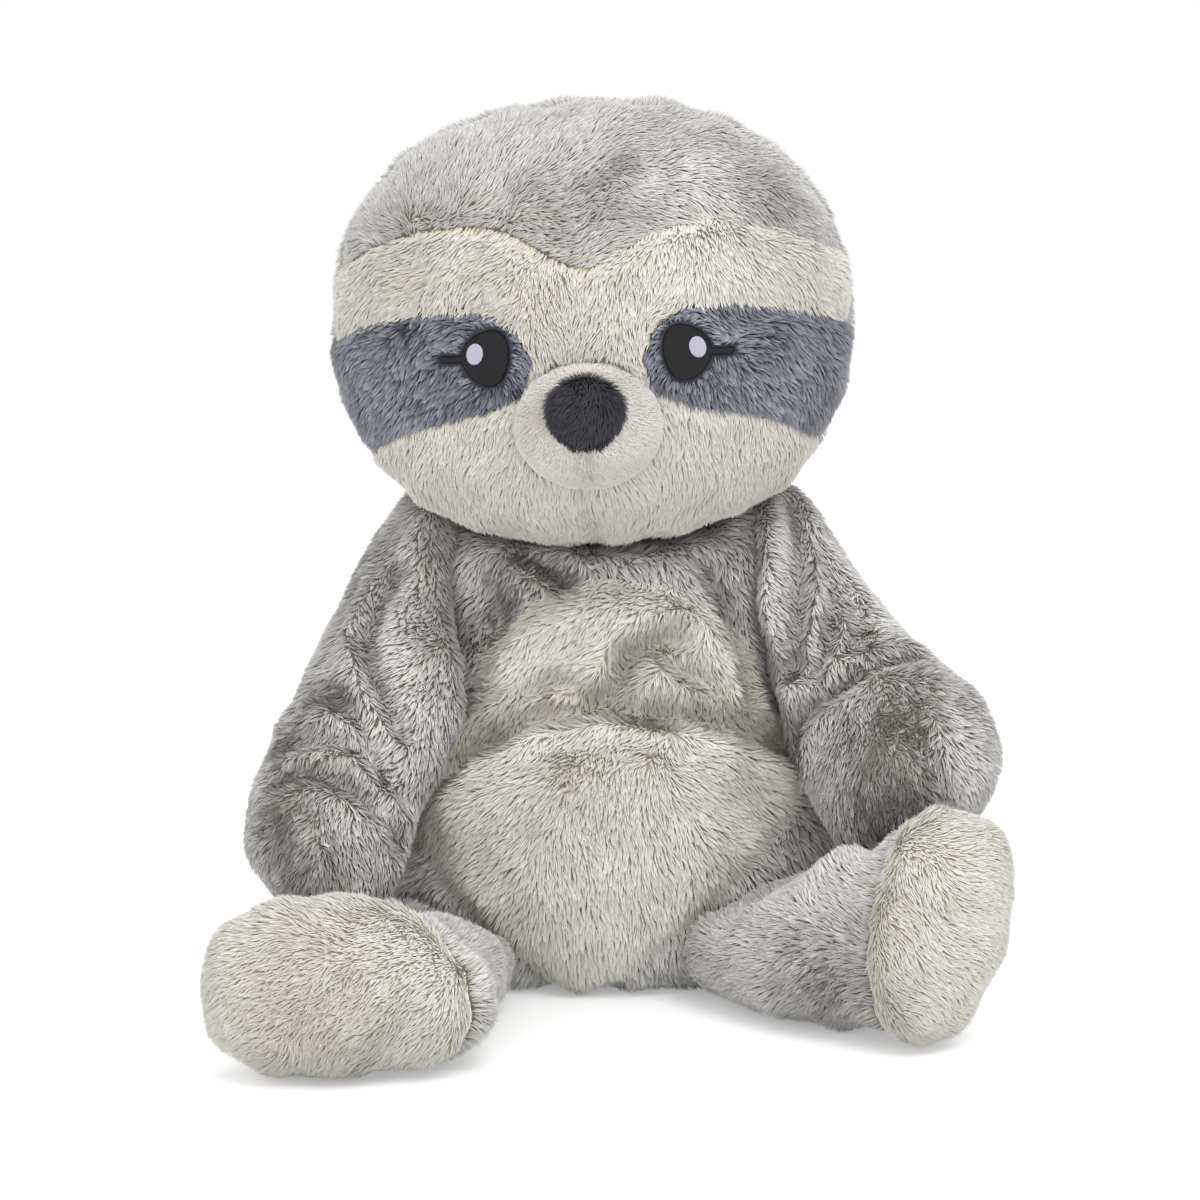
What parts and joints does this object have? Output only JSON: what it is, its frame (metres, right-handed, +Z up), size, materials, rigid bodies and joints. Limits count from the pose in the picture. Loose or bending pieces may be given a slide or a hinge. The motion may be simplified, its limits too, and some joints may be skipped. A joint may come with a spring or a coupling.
{
  "type": "weighted plush sloth",
  "caption": "Seated soft toy sloth with a turning head, arms that lift sideways, legs that swing inwards, and pouches of glass beads as weights.",
  "frame": {"origin": "on the floor under the middle of the seat, on the seat's flat face", "axes": "+Z up, the toy faces -Y, the toy's right side is -X"},
  "size_m": [0.3271, 0.2936, 0.3749],
  "materials": {
    "plush_grey": "long soft pile, mottled warm grey",
    "plush_cream": "long soft pile, pale cream grey",
    "plush_slate": "soft pile, slate blue grey",
    "velour_cream": "short velour pile",
    "plush_black": "short fuzzy pile, near black",
    "thread_black": "satin stitch embroidery",
    "thread_pale": "satin stitch embroidery",
    "fibre_fill": "loose polyester fibre",
    "pouch_cloth": "plain woven lining",
    "glass_beads": "packed fine glass beads"
  },
  "bodies": {
    "torso": {"torso_front_cover": "plush_grey", "belly_panel": "plush_cream", "torso_back_cover": "plush_grey", "torso_stuffing": "fibre_fill", "seat_pouch_front": "pouch_cloth", "seat_pouch_back": "pouch_cloth", "seat_beads": "glass_beads"},
    "head": {"head_back_panel": "plush_grey", "crown_panel": "plush_grey", "face_panel": "plush_cream", "left_eye_patch": "plush_slate", "right_eye_patch": "plush_slate", "left_eye_embroidery": "thread_black", "right_eye_embroidery": "thread_black", "left_eye_highlight": "thread_pale", "right_eye_highlight": "thread_pale", "muzzle_cover": "velour_cream", "muzzle_stuffing": "fibre_fill", "nose": "plush_black", "head_stuffing": "fibre_fill"},
    "right_arm": {"right_arm_cover": "plush_grey", "right_arm_stuffing": "fibre_fill", "right_hand_pouch_front": "pouch_cloth", "right_hand_pouch_back": "pouch_cloth", "right_hand_beads": "glass_beads"},
    "left_arm": {"left_arm_cover": "plush_grey", "left_arm_stuffing": "fibre_fill", "left_hand_pouch_front": "pouch_cloth", "left_hand_pouch_back": "pouch_cloth", "left_hand_beads": "glass_beads"},
    "right_leg": {"right_leg_cover": "plush_grey", "right_foot_cover": "plush_grey", "right_sole_panel": "plush_cream", "right_leg_stuffing": "fibre_fill", "right_foot_pouch_front": "pouch_cloth", "right_foot_pouch_back": "pouch_cloth", "right_foot_beads": "glass_beads"},
    "left_leg": {"left_leg_cover": "plush_grey", "left_foot_cover": "plush_grey", "left_sole_panel": "plush_cream", "left_leg_stuffing": "fibre_fill", "left_foot_pouch_front": "pouch_cloth", "left_foot_pouch_back": "pouch_cloth", "left_foot_beads": "glass_beads"}
  },
  "joints": [
    {"name": "neck_turn", "type": "hinge", "parent": "torso", "child": "head", "pos_m": [0.0005, -0.022, 0.2], "axis": [-0.0384, 0, 0.9993], "range_deg": [-20, 20]},
    {"name": "right_shoulder", "type": "hinge", "parent": "torso", "child": "right_arm", "pos_m": [-0.084, 0.005, 0.206], "axis": [0, 1, 0], "range_deg": [0, 45]},
    {"name": "left_shoulder", "type": "hinge", "parent": "torso", "child": "left_arm", "pos_m": [0.09, 0.005, 0.208], "axis": [0, -1, 0], "range_deg": [0, 45]},
    {"name": "right_hip", "type": "hinge", "parent": "torso", "child": "right_leg", "pos_m": [-0.03, -0.08, 0.03], "axis": [0, 0, 1], "range_deg": [0, 12]},
    {"name": "left_hip", "type": "hinge", "parent": "torso", "child": "left_leg", "pos_m": [0.03, -0.08, 0.03], "axis": [0, 0, -1], "range_deg": [0, 12]}
  ]
}
